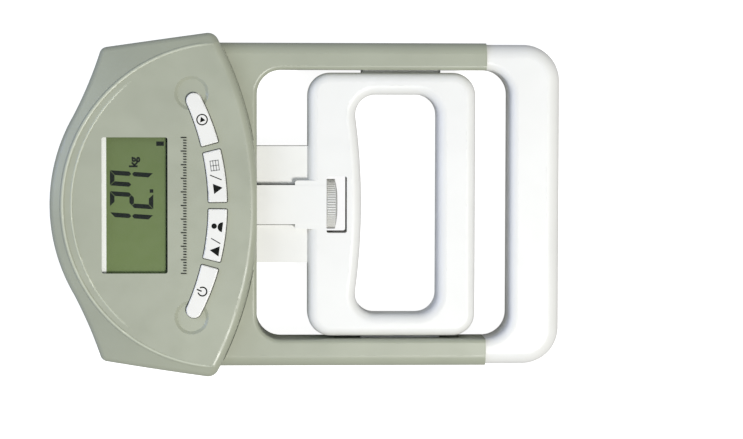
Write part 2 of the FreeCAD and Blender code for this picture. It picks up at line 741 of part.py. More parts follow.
def lcd_frame():
    frame = prism(rectangle(LCD_LEFT - 3.0, LCD_RIGHT + 3.0, LCD_HALF + 3.0, 1.0), PCB_TOP + 0.05, 24.95)
    opening = block(LCD_LEFT + LCD_STRIP, LCD_RIGHT + 1.0, -LCD_HALF - 1.0, LCD_HALF + 1.0, 19, 26)
    glass_room = block(LCD_LEFT + 0.4, LCD_RIGHT + 1.9, -LCD_HALF - 1.9, LCD_HALF + 1.9, 19, GLASS_TOP + 0.05)
    return frame.cut(opening.fuse(glass_room))


def lcd_glass():
    return block(LCD_LEFT + 0.5, LCD_RIGHT + 1.8, -LCD_HALF - 1.8, LCD_HALF + 1.8, GLASS_LOW, GLASS_TOP)


def lcd_connector_strips():
    low, high = PCB_TOP + 0.02, GLASS_LOW - 0.02
    return group([block(x - 1.2, x + 1.2, -24.0, 24.0, low, high) for x in (LCD_LEFT + 2.4, LCD_RIGHT - 0.2)])


def lcd_window():
    wire = rectangle(LCD_LEFT - 1.4, LCD_RIGHT + 1.4, LCD_HALF + 1.4, 2.2)
    return prism(wire, HEAD_TOP - WALL + 0.02, HEAD_TOP - LIP - 0.02)


# ---------------------------------------------------------------- battery
def battery_ends():
    """For each battery: its x, and the sign of Y on the side where its raised contact points."""
    return zip(BATTERY_X, (1, -1))


def aaa_cells():
    cells = []
    for x, side in battery_ends():
        z = WELL_TOP - BATTERY_R - 0.3
        can = rod(BATTERY_R, at(x, side * -19.6, z), at(x, side * 24.0, z))
        can = can.makeFillet(0.6, [edge for edge in can.Edges if edge.BoundBox.YLength < 1e-3])
        cells.append(can.fuse(rod(1.9, at(x, side * 23.9, z), at(x, side * 24.9, z))))
    return group(cells)


def battery_plates():
    plates = []
    z = WELL_TOP - BATTERY_R - 0.3
    for x in BATTERY_X:
        for side in (1, -1):
            y0, y1 = sorted((side * 25.1, side * 25.5))
            plates.append(block(x - 4.2, x + 4.2, y0, y1, z - 4.0, z + 4.0))
    return group(plates)


def battery_springs():
    springs = []
    z = WELL_TOP - BATTERY_R - 0.3
    wire_r = 0.35
    for x, side in battery_ends():
        height = 4.3
        path = Part.makeHelix(height / 4, height, 3.0)
        section = Part.Wire(Part.makeCircle(wire_r, at(3.0, 0, 0), ACROSS))
        coil = Part.Wire(path).makePipeShell([section], True, True)
        coil.rotate(at(0, 0), ALONG, -90 * side)
        coil.translate(at(x, side * -20.1 - (height if side > 0 else -height), z))
        springs.append(coil)
    return group(springs)


def battery_wires():
    runs = []
    low = WELL_TOP + 1.2
    for y in (-20.0, -16.0):
        runs.append(wire_tube(0.5, [(WELL_RIGHT - 5.0, y, low + 0.7), (WELL_RIGHT - 4.2, y + 0.5, low + 1.4),
                                    (WELL_RIGHT - 4.0, y + 1.0, PCB_LOW - 0.35)]))
    return group(runs)


def battery_door():
    left = WELL_LEFT + DOOR_GAP
    half = WELL_HALF - DOOR_GAP
    thick_half = 0.8
    panel = block(left, HINGE_X, -half, half, HINGE_Z - thick_half, HINGE_Z + thick_half)
    knuckle = rod(thick_half, at(HINGE_X, -half, HINGE_Z), at(HINGE_X, half, HINGE_Z))
    pins = rod(0.75, at(HINGE_X, -half - 0.9, HINGE_Z), at(HINGE_X, half + 0.9, HINGE_Z))
    door = joined([panel, knuckle, pins])
    grips = [block(left + 2.0 + 1.5 * i, left + 2.7 + 1.5 * i, -7.0, 7.0, 0, HINGE_Z - thick_half + 0.35)
             for i in range(4)]
    return door.cut(group(grips))


# ---------------------------------------------------------------- rod and wheel
def pull_rod():
    rod_bar = tube_along_x(ROD_R, ROD_LEFT, ROD_RIGHT)
    ends = [edge for edge in rod_bar.Edges if edge.BoundBox.XLength < 1e-3]
    return rod_bar.makeChamfer(0.5, ends)


def rod_nuts():
    """The nut that pulls on the load cell, and a thinner one locked against it."""
    face_x = CELL_LEFT - SQUEEZE_GAP
    bore = ROD_R + 0.03
    return group([hex_nut(face_x - 4.0, 4.0, 10.0, bore), hex_nut(face_x - 7.02, 3.0, 10.0, bore)])


def toothed_wire(radius, teeth, depth):
    """Outline of a knurled rim: one V groove per tooth, in the YZ plane."""
    points = []
    for i in range(teeth):
        for share, r in ((0.0, radius - depth), (0.3, radius), (0.7, radius)):
            turn = 2 * math.pi * (i + share) / teeth
            points.append(at(0, r * math.cos(turn), r * math.sin(turn)))
    points.append(points[0])
    return Part.makePolygon(points)


def adjusting_wheel():
    face = Part.Face(toothed_wire(WHEEL_R, WHEEL_TEETH, 0.4))
    wheel = face.extrude(at(WHEEL_THICK, 0, 0))
    wheel.translate(at(WHEEL_LEFT, 0, SPLIT))
    barrel = tube_along_x(WHEEL_R + 0.05, WHEEL_LEFT, WHEEL_LEFT + WHEEL_THICK)
    ends = [edge for edge in barrel.Edges if edge.BoundBox.XLength < 1e-3]
    barrel = barrel.makeFillet(0.7, ends)
    ball = (WHEEL_R ** 2 + WHEEL_DOME ** 2) / (2 * WHEEL_DOME)
    dome = Part.makeSphere(ball, at(WHEEL_LEFT + WHEEL_THICK - ball, 0, SPLIT))
    wheel = wheel.common(barrel).common(dome)
    return wheel.cut(tube_along_x(INSERT_R + 0.01, WHEEL_LEFT - 1, WHEEL_LEFT + WHEEL_THICK + 1))


def wheel_insert():
    return tube_along_x(INSERT_R, WHEEL_LEFT, WHEEL_LEFT + INSERT_THICK, ROD_R + RUN)


def thrust_washer():
    return tube_along_x(6.5, WINDOW_LEFT - 0.6, WINDOW_LEFT, ROD_R + 0.3)


# ---------------------------------------------------------------- finger grip
def grip_hole_wire():
    """The ring's opening: its side next to the wheel bows towards the fingers."""
    return outline(
        (HOLE_LEFT, -HOLE_HALF),
        ((HOLE_BULGE, 0.0), (HOLE_LEFT, HOLE_HALF)),
        (HOLE_RIGHT, HOLE_HALF),
        (HOLE_RIGHT, -HOLE_HALF),
    )


def grip_hole(low, high, grow=0.0):
    solid = prism(grip_hole_wire(), low, high)
    corners = [(x, s * HOLE_HALF) for x in (HOLE_LEFT, HOLE_RIGHT) for s in (1, -1)]
    solid = rounded(solid, HOLE_CORNER_R, upright_near(corners))
    if not grow:
        return solid
    base = [face for face in solid.Faces if face.BoundBox.ZMax < low + 1e-3][0]
    return prism(grown(base.OuterWire, grow), 0, high - low)


def runner(clearance):
    """One guide runner, with a flange inside the ring's wall; clearance grows it to make its pocket."""
    gap = clearance
    half = RUNNER_HALF_Z + gap
    lug = block(RUNNER_LEFT - gap, RUNNER_RIGHT + gap, 45.9, RUNNER_OUT, SPLIT - half, SPLIT + half)
    lug = lug.makeFillet(1.2, [edge for edge in lug.Edges if edge.BoundBox.YLength > 5])
    flange = block(RUNNER_LEFT - 1.5, RUNNER_RIGHT + 1.5, 45.4, GRIP_HALF - WALL - 0.05,
                   SPLIT - half - 1.2, SPLIT + half + 1.2)
    return lug if clearance else lug.fuse(flange)


def neck_half(low, high):
    """Neck, its wider collar and the guide plate, between two heights."""
    top = min(high, NECK_TOP)
    neck = block(NECK_LEFT, WINDOW_LEFT, -NECK_HALF, NECK_HALF, low, top)
    collar = block(BOSS_LEFT, GRIP_LEFT + 4.2, -BOSS_HALF, BOSS_HALF, low, min(high, GRIP_TOP))
    collar = rounded(collar, 0.9, upright_near([(BOSS_LEFT, BOSS_HALF), (BOSS_LEFT, -BOSS_HALF)]))
    half = PLATE_THICK / 2
    plate_low, plate_high = max(low, SPLIT - half), min(high, SPLIT + half)
    plate = block(PLATE_LEFT, GRIP_LEFT + 1.5, -PLATE_HALF, PLATE_HALF, plate_low, plate_high)
    return [neck, collar, plate]


def neck_hollow():
    half = NECK_HALF - WALL
    return block(NECK_LEFT + WALL, WINDOW_LEFT - THRUST_WALL, -half, half, NECK_LOW + WALL, NECK_TOP - WALL)


def plate_grooves():
    """Narrow grooves where the neck stands out of the plate."""
    half = PLATE_THICK / 2
    return group(block(PLATE_LEFT - 1, BOSS_LEFT, y - 0.25, y + 0.25, z - GROOVE_DEEP, z + GROOVE_DEEP)
                 for y in (-NECK_HALF - 0.25, NECK_HALF + 0.25) for z in (SPLIT - half, SPLIT + half))


def grip_half(front):
    low, high = (SPLIT, GRIP_TOP) if front else (GRIP_LOW, SPLIT)
    face_z = high if front else low
    solid = prism(rectangle(GRIP_LEFT, GRIP_RIGHT, GRIP_HALF, GRIP_CORNER_R), low, high)
    solid = solid.cut(grip_hole(low - 1, high + 1))
    solid = rounded(solid, 3.5, level_at(face_z))
    outer = grown(rectangle(GRIP_LEFT, GRIP_RIGHT, GRIP_HALF, GRIP_CORNER_R), -WALL)
    z0, z1 = (low - 1, high - WALL) if front else (low + WALL, high + 1)
    hollow = prism(outer, z0, z1).cut(grip_hole(z0 - 1, z1 + 1, WALL))
    solid = solid.cut(hollow)
    wall_x = WINDOW_LEFT - THRUST_WALL
    wall_y = WINDOW_HALF + 1.8
    wall_low = low + 0.5
    wall_high = high - 0.5
    cheeks = both_sides(block(wall_x, HOLE_LEFT + 1, WINDOW_HALF, wall_y, wall_low, wall_high))
    end_wall = block(WINDOW_RIGHT, WINDOW_RIGHT + 1.9, -WINDOW_HALF - 1, WINDOW_HALF + 1, wall_low, wall_high)
    thrust_wall = block(wall_x, WINDOW_LEFT, -wall_y, wall_y, wall_low, wall_high)
    end_core = tube_along_x(5.0, WINDOW_RIGHT, HOLE_BULGE - 0.6).common(block(-10, 70, -60, 60, low, high))
    neck = neck_half(SPLIT, NECK_TOP) if front else neck_half(NECK_LOW, SPLIT)
    post_low, post_high = (low, high - 1) if front else (low + 1, high)
    posts = [post(x, y, post_low, post_high) for x, y in mirrored(GRIP_SCREWS)]
    solid = joined([solid, end_core, end_wall, thrust_wall] + cheeks + neck + posts)
    window = prism(rectangle(WINDOW_LEFT, WINDOW_RIGHT, WINDOW_HALF, 0.8), low - 1, high + 1)
    rod_room = tube_along_x(ROD_R + 0.3, PLATE_LEFT - 1, HOLE_BULGE - 1.0)
    washer_room = tube_along_x(6.6, WINDOW_LEFT - 0.65, WINDOW_LEFT + 1)
    holes = [window, neck_hollow(), plate_grooves(), rod_room, washer_room]
    holes += [screw_hole(x, y, low - 1, 17.0) for x, y in mirrored(GRIP_SCREWS)]
    if not front:
        holes += [screw_recess(x, y, low) for x, y in mirrored(GRIP_SCREWS)]
    holes += both_sides(runner(RUN))
    for hole in holes:
        solid = solid.cut(hole)
    return solid


# ---------------------------------------------------------------- all parts
HEAD_BASE = head_base()

PARTS = {
    "front_cover": front_cover,
    "frame_front_shell": frame_front_shell,
    "rear_cover": rear_cover,
    "palm_bar_front": lambda: palm_bar_half(True),
    "palm_bar_rear": lambda: palm_bar_half(False),
    "steel_frame": steel_frame,
    "anchor_crossbar": anchor_crossbar,
    "crossbar_bolts": crossbar_bolts,
    "load_cell": load_cell,
    "load_cell_spacer": load_cell_spacer,
    "load_cell_bolts": load_cell_bolts,
    "strain_gauges": strain_gauges,
    "gauge_cable": gauge_cable,
    "main_pcb": main_pcb,
    "pcb_screws": pcb_screws,
    "pcb_chips": pcb_chips,
    "piezo_buzzer": piezo_buzzer,
    "lcd_frame": lcd_frame,
    "lcd_glass": lcd_glass,
    "lcd_window": lcd_window,
    "lcd_connector_strips": lcd_connector_strips,
    "switch_bodies": switch_bodies,
    "aaa_cells": aaa_cells,
    "battery_plates": battery_plates,
    "battery_springs": battery_springs,
    "battery_wires": battery_wires,
    "battery_door": battery_door,
    "rear_cover_screws": lambda: group(rear_screw(x, y, 0.0, 19.0 if x > -30 else 20.5)
                                       for x, y in mirrored(REAR_SCREWS)),
    "palm_bar_screws": lambda: group(rear_screw(x, y, 0.0, 18.0) for x, y in mirrored(PALM_SCREWS)),
    "pull_rod": pull_rod,
    "rod_nuts": rod_nuts,
    "finger_grip_front": lambda: grip_half(True),
    "finger_grip_rear": lambda: grip_half(False),
    "finger_grip_screws": lambda: group(rear_screw(x, y, GRIP_LOW, 16.5) for x, y in mirrored(GRIP_SCREWS)),
    "guide_runners": lambda: group(both_sides(runner(0.0))),
    "thrust_washer": thrust_washer,
    "adjusting_wheel": adjusting_wheel,
    "wheel_insert": wheel_insert,
}
for key_name in KEY_ANGLES:
    PARTS[key_name] = lambda name=key_name: key_cap(name)
    PARTS[key_name.replace("key", "stem")] = lambda name=key_name: switch_stem(name)

os.makedirs("parts", exist_ok=True)
for part_name, build in PARTS.items():
    shape = build()
    print(part_name, "solids", len(shape.Solids), "valid", shape.isValid(), "mm3", round(shape.Volume))
    shape.exportStep(os.path.join("parts", part_name + ".step"))
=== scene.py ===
import json
import math

import bmesh
import bpy
from mathutils import Matrix, Vector


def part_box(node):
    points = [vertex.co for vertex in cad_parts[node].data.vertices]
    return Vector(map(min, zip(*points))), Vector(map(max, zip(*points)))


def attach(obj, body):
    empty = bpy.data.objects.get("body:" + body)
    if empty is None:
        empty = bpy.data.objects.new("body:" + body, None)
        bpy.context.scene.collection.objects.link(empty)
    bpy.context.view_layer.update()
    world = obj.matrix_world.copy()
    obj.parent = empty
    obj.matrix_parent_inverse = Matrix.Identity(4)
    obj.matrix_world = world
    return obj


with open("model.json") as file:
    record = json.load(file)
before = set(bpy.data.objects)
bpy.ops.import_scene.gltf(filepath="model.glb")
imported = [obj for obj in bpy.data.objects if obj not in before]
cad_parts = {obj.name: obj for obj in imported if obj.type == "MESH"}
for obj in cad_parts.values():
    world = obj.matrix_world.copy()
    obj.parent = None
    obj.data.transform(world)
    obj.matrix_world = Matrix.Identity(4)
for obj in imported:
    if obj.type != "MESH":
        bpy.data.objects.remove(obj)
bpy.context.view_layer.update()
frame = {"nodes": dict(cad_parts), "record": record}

MM = 0.001

# ---------------------------------------------------------------- materials
# Each finish is a row of values for one shader recipe. Colours are linear. Grain and brush are noise scales
# per metre, depth is the depth of the grain, wear is how far rubbed edges turn pale, drift is how much the
# colour varies, gloss is the strength of the sheen, and groove_shade is how far the grooves are darkened
# with painted shade.
PLASTIC = {
    "grey_plastic": dict(colour=(0.365, 0.385, 0.300), rough=0.34, grain=2600, depth=0.05, wear=0.16,
                         drift=0.05),
    "white_plastic": dict(colour=(0.80, 0.80, 0.775), rough=0.38, grain=2200, depth=0.035, wear=0.05,
                          drift=0.02),
    "key_white": dict(colour=(0.785, 0.78, 0.745), rough=0.30, grain=3200, depth=0.02, wear=0.04,
                      drift=0.015),
    # The wheel's knurl grooves are darkened with painted shade.
    "wheel_white": dict(colour=(0.72, 0.72, 0.69), rough=0.45, grain=3000, depth=0.05, wear=0.10,
                        drift=0.04, groove_shade=0.75),
    "holder_white": dict(colour=(0.95, 0.95, 0.93), rough=0.5, grain=2500, depth=0.03, wear=0.02,
                         drift=0.02),
    "black_rubber": dict(colour=(0.02, 0.02, 0.02), rough=0.8, grain=1800, depth=0.10, wear=0.05,
                         drift=0.05),
    "board_green": dict(colour=(0.03, 0.16, 0.07), rough=0.35, grain=1500, depth=0.06, wear=0.05,
                        drift=0.10),
    "chip_black": dict(colour=(0.025, 0.025, 0.028), rough=0.55, grain=4000, depth=0.08, wear=0.10,
                       drift=0.05),
    "switch_grey": dict(colour=(0.10, 0.10, 0.11), rough=0.5, grain=3000, depth=0.05, wear=0.08,
                        drift=0.05),
    "gauge_foil": dict(colour=(0.50, 0.28, 0.08), rough=0.3, grain=2500, depth=0.04, wear=0.05,
                       drift=0.08),
    "acetal": dict(colour=(0.88, 0.88, 0.86), rough=0.36, grain=2600, depth=0.04, wear=0.12,
                   drift=0.04),
    "battery_sleeve": dict(colour=(0.05, 0.07, 0.11), rough=0.28, grain=1200, depth=0.02, wear=0.20,
                           drift=0.05),
    "wire_red": dict(colour=(0.42, 0.03, 0.03), rough=0.45, grain=2000, depth=0.05, wear=0.03,
                     drift=0.04),
    "print_ink": dict(colour=(0.004, 0.005, 0.004), rough=0.6, grain=6000, depth=0.05, wear=0.0,
                      drift=0.20, gloss=0.12),
    "print_grey": dict(colour=(0.22, 0.225, 0.22), rough=0.55, grain=6000, depth=0.05, wear=0.02,
                       drift=0.20),
}
METAL = {
    "steel": dict(colour=(0.50, 0.50, 0.50), rough=0.34, brush=900),
    "zinc_screw": dict(colour=(0.62, 0.63, 0.62), rough=0.26, brush=1600),
    "cell_aluminium": dict(colour=(0.76, 0.77, 0.78), rough=0.30, brush=1100),
    "brass": dict(colour=(0.70, 0.50, 0.22), rough=0.28, brush=1400),
}
# The two raised lines of the head, whose tops get a painted highlight: (centre x, radius, end x) in
# millimetres.
CREST_HIGHLIGHTS = ((-30.0, 59.6, -34.0), (-27.9, 58.4, -64.0))

CLOUD_SCALE = 38            # noise scales of moulded plastic's cloudy colour and of its hand polish
POLISH_SCALE = 160
RUB_REACH = 0.5 * MM        # how far from an edge the plastic is rubbed
WEAR_AND_HIGHLIGHT_GAIN = 1.25             # a rubbed edge and a painted crest highlight take the colour times this, plus the lift
WEAR_AND_HIGHLIGHT_LIFT = 0.04
RUB_SHINE = 0.3             # roughness that a fully rubbed edge loses
EDGE_COSINES = (0.86, 0.998)    # of the angle between rounded and true normal, on an edge and on a face
GROOVE_REACH = 0.6 * MM     # walls nearer than this make a groove
GROOVE_LIGHT = (0.35, 0.95)     # the open share of the view, at the bottom of a groove and on a face
GROOVE_SHADE_TONE = 0.35            # the colour times this is the colour of the painted groove shade
POLISH_SPREAD = (-0.06, 0.08)   # roughness added to the material's own
GRAIN_HEIGHT = 0.05 * MM
GRAIN_STRENGTH = 4          # bump strength for a grain depth of one
CREST_HIGHLIGHT_FULL = 0.1 * MM        # the painted crest highlight is full up to here from its line
CREST_HIGHLIGHT_FOOT = 0.5 * MM       # and plain from here on
CREST_HIGHLIGHT_FADE = 6 * MM         # the length over which the painted crest highlight fades out
PLASTIC_IOR = 1.47

BRUSH_STRETCH = (0.06, 1.0, 1.0)
BRUSH_SPREAD = (-0.08, 0.10)
BRUSH_HEIGHT = 0.02 * MM
BRUSH_STRENGTH = 0.25
TARNISH_SCALE = 60
TARNISH_TONE = 0.82

SHEET_TINT = (0.985, 0.99, 0.985)
SHEET_IOR = 1.25            # low, for the faint reflection of a coated sheet
SCRATCH_SCALE = 700
SCRATCH_STRETCH = (1.0, 0.05, 1.0)
SCRATCH_ROUGH = (0.03, 0.12)

# Painted shade: the display is drawn a little darker towards +Y.
LCD_LIT = (0.148, 0.204, 0.069)
LCD_SHADED = (0.131, 0.178, 0.064)
LCD_REACH = 25 * MM         # the painted shade deepens from this far below the middle to this far above it
LCD_SPECKLE_SCALE = 2600
LCD_SPECKLE = (0.94, 1.06)
LCD_POLISH_SCALE = 300
LCD_ROUGH = (0.30, 0.42)
LCD_GRAIN_SCALE = 1800
LCD_GRAIN_STRENGTH = 0.06
LCD_GRAIN_HEIGHT = 0.02 * MM
LCD_IOR = 1.4
SEGMENT_DARK = (0.005, 0.009, 0.007)
SEGMENT_PALE = (0.009, 0.014, 0.011)
SEGMENT_CLOUD_SCALE = 900
SEGMENT_POLISH_SCALE = 500
SEGMENT_ROUGH = (0.5, 0.65)
SEGMENT_IOR = 1.25


class Shader:
    """A material under construction, with short calls for adding and linking nodes."""

    def __init__(self, name):
        self.material = bpy.data.materials.new(name)
        self.material.use_nodes = True
        self.tree = self.material.node_tree
        self.tree.nodes.clear()
        self.output = self.tree.nodes.new("ShaderNodeOutputMaterial")
        self.place = self.node("ShaderNodeTexCoord").outputs["Object"]

    def node(self, kind, **settings):
        made = self.tree.nodes.new(kind)
        for key, value in settings.items():
            setattr(made, key, value)
        return made

    def link(self, source, target):
        self.tree.links.new(source, target)

    def fill(self, socket, value):
        """Give a socket a number, a colour or the output of another node."""
        if isinstance(value, (int, float)):
            socket.default_value = value
        elif isinstance(value, tuple):
            socket.default_value = (*value, 1.0)
        else:
            self.link(value, socket)

    def noise(self, scale, detail, stretch=None):
        texture = self.node("ShaderNodeTexNoise")
        texture.inputs["Scale"].default_value = scale
        texture.inputs["Detail"].default_value = detail
        place = self.place
        if stretch:
            mapping = self.node("ShaderNodeMapping")
            mapping.inputs["Scale"].default_value = stretch
            self.link(place, mapping.inputs["Vector"])
            place = mapping.outputs["Vector"]
        self.link(place, texture.inputs["Vector"])
        return texture.outputs["Fac"]

    def remap(self, value, low, high, from_low=0.3, from_high=0.7):
        """Stretch one range to another. Noise mostly stays in the range that it is taken from by default."""
        node = self.node("ShaderNodeMapRange")
        node.inputs["From Min"].default_value = from_low
        node.inputs["From Max"].default_value = from_high
        node.inputs["To Min"].default_value = low
        node.inputs["To Max"].default_value = high
        self.link(value, node.inputs["Value"])
        return node.outputs["Result"]

    def math(self, operation, first, second):
        node = self.node("ShaderNodeMath", operation=operation)
        self.fill(node.inputs[0], first)
        self.fill(node.inputs[1], second)
        return node.outputs[0]

    def mix_colour(self, factor, first, second, blend="MIX"):
        node = self.node("ShaderNodeMix", data_type="RGBA", blend_type=blend)
        colours = [socket for socket in node.inputs if socket.type == "RGBA"]
        self.fill(node.inputs["Factor"], factor)
        self.fill(colours[0], first)
        self.fill(colours[1], second)
        return [socket for socket in node.outputs if socket.type == "RGBA"][0]

    def along(self, axis):
        """The x, y or z of the place."""
        split = self.node("ShaderNodeSeparateXYZ")
        self.link(self.place, split.inputs[0])
        return split.outputs[axis]

    def edge_mask(self, radius):
        """1 on rounded and sharp outer edges, 0 on open faces."""
        bevel = self.node("ShaderNodeBevel", samples=6)
        bevel.inputs["Radius"].default_value = radius
        geometry = self.node("ShaderNodeNewGeometry")
        dot = self.node("ShaderNodeVectorMath", operation="DOT_PRODUCT")
        self.link(bevel.outputs["Normal"], dot.inputs[0])
        self.link(geometry.outputs["Normal"], dot.inputs[1])
        return self.remap(dot.outputs["Value"], 1.0, 0.0, *EDGE_COSINES)

    def groove_mask(self, distance):
        """1 deep in narrow grooves, 0 on open faces."""
        node = self.node("ShaderNodeAmbientOcclusion", samples=8, only_local=True)
        node.inputs["Distance"].default_value = distance
        return self.remap(node.outputs["AO"], 1.0, 0.0, *GROOVE_LIGHT)

    def crest_highlight_mask(self, centre_x, radius, end_x):
        """Where the painted crest highlight goes: 1 on an upright cylinder about (centre_x, 0), 0 away from
        it, and fading out towards end_x.
        """
        offset = self.node("ShaderNodeVectorMath", operation="SUBTRACT")
        self.link(self.place, offset.inputs[0])
        offset.inputs[1].default_value = (centre_x, 0.0, 0.0)
        flat = self.node("ShaderNodeVectorMath", operation="MULTIPLY")
        self.link(offset.outputs["Vector"], flat.inputs[0])
        flat.inputs[1].default_value = (1.0, 1.0, 0.0)
        length = self.node("ShaderNodeVectorMath", operation="LENGTH")
        self.link(flat.outputs["Vector"], length.inputs[0])
        away = self.math("ABSOLUTE", self.math("SUBTRACT", length.outputs["Value"], radius), 0.0)
        near = self.remap(away, 1.0, 0.0, CREST_HIGHLIGHT_FULL, CREST_HIGHLIGHT_FOOT)
        before_end = self.remap(self.along("X"), 1.0, 0.0, end_x - CREST_HIGHLIGHT_FADE, end_x)
        return self.math("MULTIPLY", near, before_end)

    def bump(self, height, strength, distance):
        node = self.node("ShaderNodeBump")
        node.inputs["Strength"].default_value = strength
        node.inputs["Distance"].default_value = distance
        self.link(height, node.inputs["Height"])
        return node.outputs["Normal"]

    def finish(self, **sockets):
        """Close the material with a surface. Its sockets are named here with _ for a space."""
        surface = self.node("ShaderNodeBsdfPrincipled")
        for name, value in sockets.items():
            self.fill(surface.inputs[name.replace("_", " ")], value)
        self.link(surface.outputs["BSDF"], self.output.inputs["Surface"])
        return self.material


def plastic(name, colour, rough, grain, depth, wear, drift, gloss=0.5, groove_shade=0.0, crest_highlights=()):
    """Moulded plastic: spark-eroded grain, faint cloudy colour, hand polish and paler edges.

    Groove shade is painted shade that darkens the bottoms of narrow grooves. Crest highlights are painted
    highlights on raised lines that follow a circle up to an end, given as (centre x, radius, end x) in
    millimetres; their tops are painted paler.
    """
    shader = Shader(name)
    dark = tuple(part * (1 - drift) for part in colour)
    pale = tuple(min(1.0, part * (1 + drift)) for part in colour)
    tone = shader.mix_colour(shader.remap(shader.noise(CLOUD_SCALE, 3), 0, 1), dark, pale)
    edge = shader.math("MULTIPLY", shader.edge_mask(RUB_REACH), wear)
    wear_and_highlight_tone = tuple(min(1.0, part * WEAR_AND_HIGHLIGHT_GAIN + WEAR_AND_HIGHLIGHT_LIFT) for part in colour)
    tone = shader.mix_colour(edge, tone, wear_and_highlight_tone)
    # Painted highlight: the tops of the crest lines are drawn paler.
    for crest in crest_highlights:
        tone = shader.mix_colour(shader.crest_highlight_mask(*[number * MM for number in crest]), tone, wear_and_highlight_tone)
    # Painted shade: the bottoms of narrow grooves are drawn darker.
    if groove_shade:
        groove_shading = shader.math("MULTIPLY", shader.groove_mask(GROOVE_REACH), groove_shade)
        tone = shader.mix_colour(groove_shading, tone, tuple(part * GROOVE_SHADE_TONE for part in colour))
    polish = shader.remap(shader.noise(POLISH_SCALE, 4), *[rough + step for step in POLISH_SPREAD])
    polish = shader.math("SUBTRACT", polish, shader.math("MULTIPLY", edge, RUB_SHINE))
    normal = shader.bump(shader.noise(grain, 2), depth * GRAIN_STRENGTH, GRAIN_HEIGHT)
    return shader.finish(Base_Color=tone, Roughness=polish, Normal=normal, IOR=PLASTIC_IOR,
                         Specular_IOR_Level=gloss)


def metal(name, colour, rough, brush):
    """Machined metal: fine brushing along the part, and a little tarnish in clouds."""
    shader = Shader(name)
    dull = tuple(part * TARNISH_TONE for part in colour)
    tone = shader.mix_colour(shader.remap(shader.noise(TARNISH_SCALE, 4), 0, 1), dull, colour)
    lines = shader.noise(brush, 3, stretch=BRUSH_STRETCH)
    polish = shader.remap(lines, *[rough + step for step in BRUSH_SPREAD])
    normal = shader.bump(lines, BRUSH_STRENGTH, BRUSH_HEIGHT)
    return shader.finish(Base_Color=tone, Roughness=polish, Normal=normal, Metallic=1.0)


def clear_window():
    """Clear polished sheet: see-through, with hair scratches and a faint reflection off its outer faces."""
    shader = Shader("clear_window")
    clear = shader.node("ShaderNodeBsdfTransparent")
    shader.fill(clear.inputs["Color"], SHEET_TINT)
    gloss = shader.node("ShaderNodeBsdfGlossy")
    scratches = shader.noise(SCRATCH_SCALE, 3, stretch=SCRATCH_STRETCH)
    shader.link(shader.remap(scratches, *SCRATCH_ROUGH), gloss.inputs["Roughness"])
    fresnel = shader.node("ShaderNodeFresnel")
    fresnel.inputs["IOR"].default_value = SHEET_IOR
    inside = shader.node("ShaderNodeNewGeometry").outputs["Backfacing"]
    mirror = shader.math("MULTIPLY", fresnel.outputs["Fac"], shader.math("SUBTRACT", 1.0, inside))
    mix = shader.node("ShaderNodeMixShader")
    shader.link(mirror, mix.inputs["Fac"])
    shader.link(clear.outputs["BSDF"], mix.inputs[1])
    shader.link(gloss.outputs["BSDF"], mix.inputs[2])
    shader.link(mix.outputs["Shader"], shader.output.inputs["Surface"])
    return shader.material


def display():
    """Reflective liquid-crystal display: olive green with a fine speckle, and painted shade that makes it a
    little darker towards +Y.
    """
    shader = Shader("lcd")
    upward = shader.remap(shader.along("Y"), 0.0, 1.0, -LCD_REACH, LCD_REACH)
    tone = shader.mix_colour(upward, LCD_LIT, LCD_SHADED)
    speckle = shader.remap(shader.noise(LCD_SPECKLE_SCALE, 2), *LCD_SPECKLE)
    tone = shader.mix_colour(1.0, tone, speckle, "MULTIPLY")
    polish = shader.remap(shader.noise(LCD_POLISH_SCALE, 3), *LCD_ROUGH)
    normal = shader.bump(shader.noise(LCD_GRAIN_SCALE, 2), LCD_GRAIN_STRENGTH, LCD_GRAIN_HEIGHT)
    return shader.finish(Base_Color=tone, Roughness=polish, Normal=normal, IOR=LCD_IOR)


def display_ink_and_shadow():
    """Energised display segments, and the painted shadow line along the display's foot: near black with a
    green-blue cast.
    """
    shader = Shader("display_ink_and_shadow")
    cloud = shader.remap(shader.noise(SEGMENT_CLOUD_SCALE, 2), 0, 1)
    tone = shader.mix_colour(cloud, SEGMENT_DARK, SEGMENT_PALE)
    polish = shader.remap(shader.noise(SEGMENT_POLISH_SCALE, 2), *SEGMENT_ROUGH)
    return shader.finish(Base_Color=tone, Roughness=polish, IOR=SEGMENT_IOR)


materials = {name: plastic(name, **values) for name, values in PLASTIC.items()}
# The front cover gets a painted highlight along its two crest lines.
materials["front_cover"] = plastic("front_cover", crest_highlights=CREST_HIGHLIGHTS, **PLASTIC["grey_plastic"])
materials.update({name: metal(name, **values) for name, values in METAL.items()})
materials["clear_window"] = clear_window()
materials["lcd"] = display()
materials["display_ink_and_shadow"] = display_ink_and_shadow()

for part in frame["record"]["subparts"]:
    finish = "front_cover" if part["node"] == "front_cover" else part["material_slot"]
    mesh = frame["nodes"][part["node"]].data
    mesh.materials.clear()
    mesh.materials.append(materials[finish])


# ---------------------------------------------------------------- flat printed shapes
def add_piece(name, mesh, body, material):
    piece = bpy.data.objects.new(name, mesh)
    bpy.context.scene.collection.objects.link(piece)
    mesh.materials.append(materials[material])
    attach(piece, body)


def prisms(name, loops, low, high, body, material):
    """One mesh of thin upright prisms. Each loop is a closed list of (x, y) in metres."""
    form = bmesh.new()
    for loop in loops:
        bottom = [form.verts.new((x, y, low)) for x, y in loop]
        top = [form.verts.new((x, y, high)) for x, y in loop]
        form.faces.new(top)
        form.faces.new(list(reversed(bottom)))
        for i in range(len(loop)):
            j = (i + 1) % len(loop)
            form.faces.new((bottom[i], bottom[j], top[j], top[i]))
    bmesh.ops.recalc_face_normals(form, faces=form.faces)
    mesh = bpy.data.meshes.new(name)
    form.to_mesh(mesh)
    form.free()
    add_piece(name, mesh, body, material)


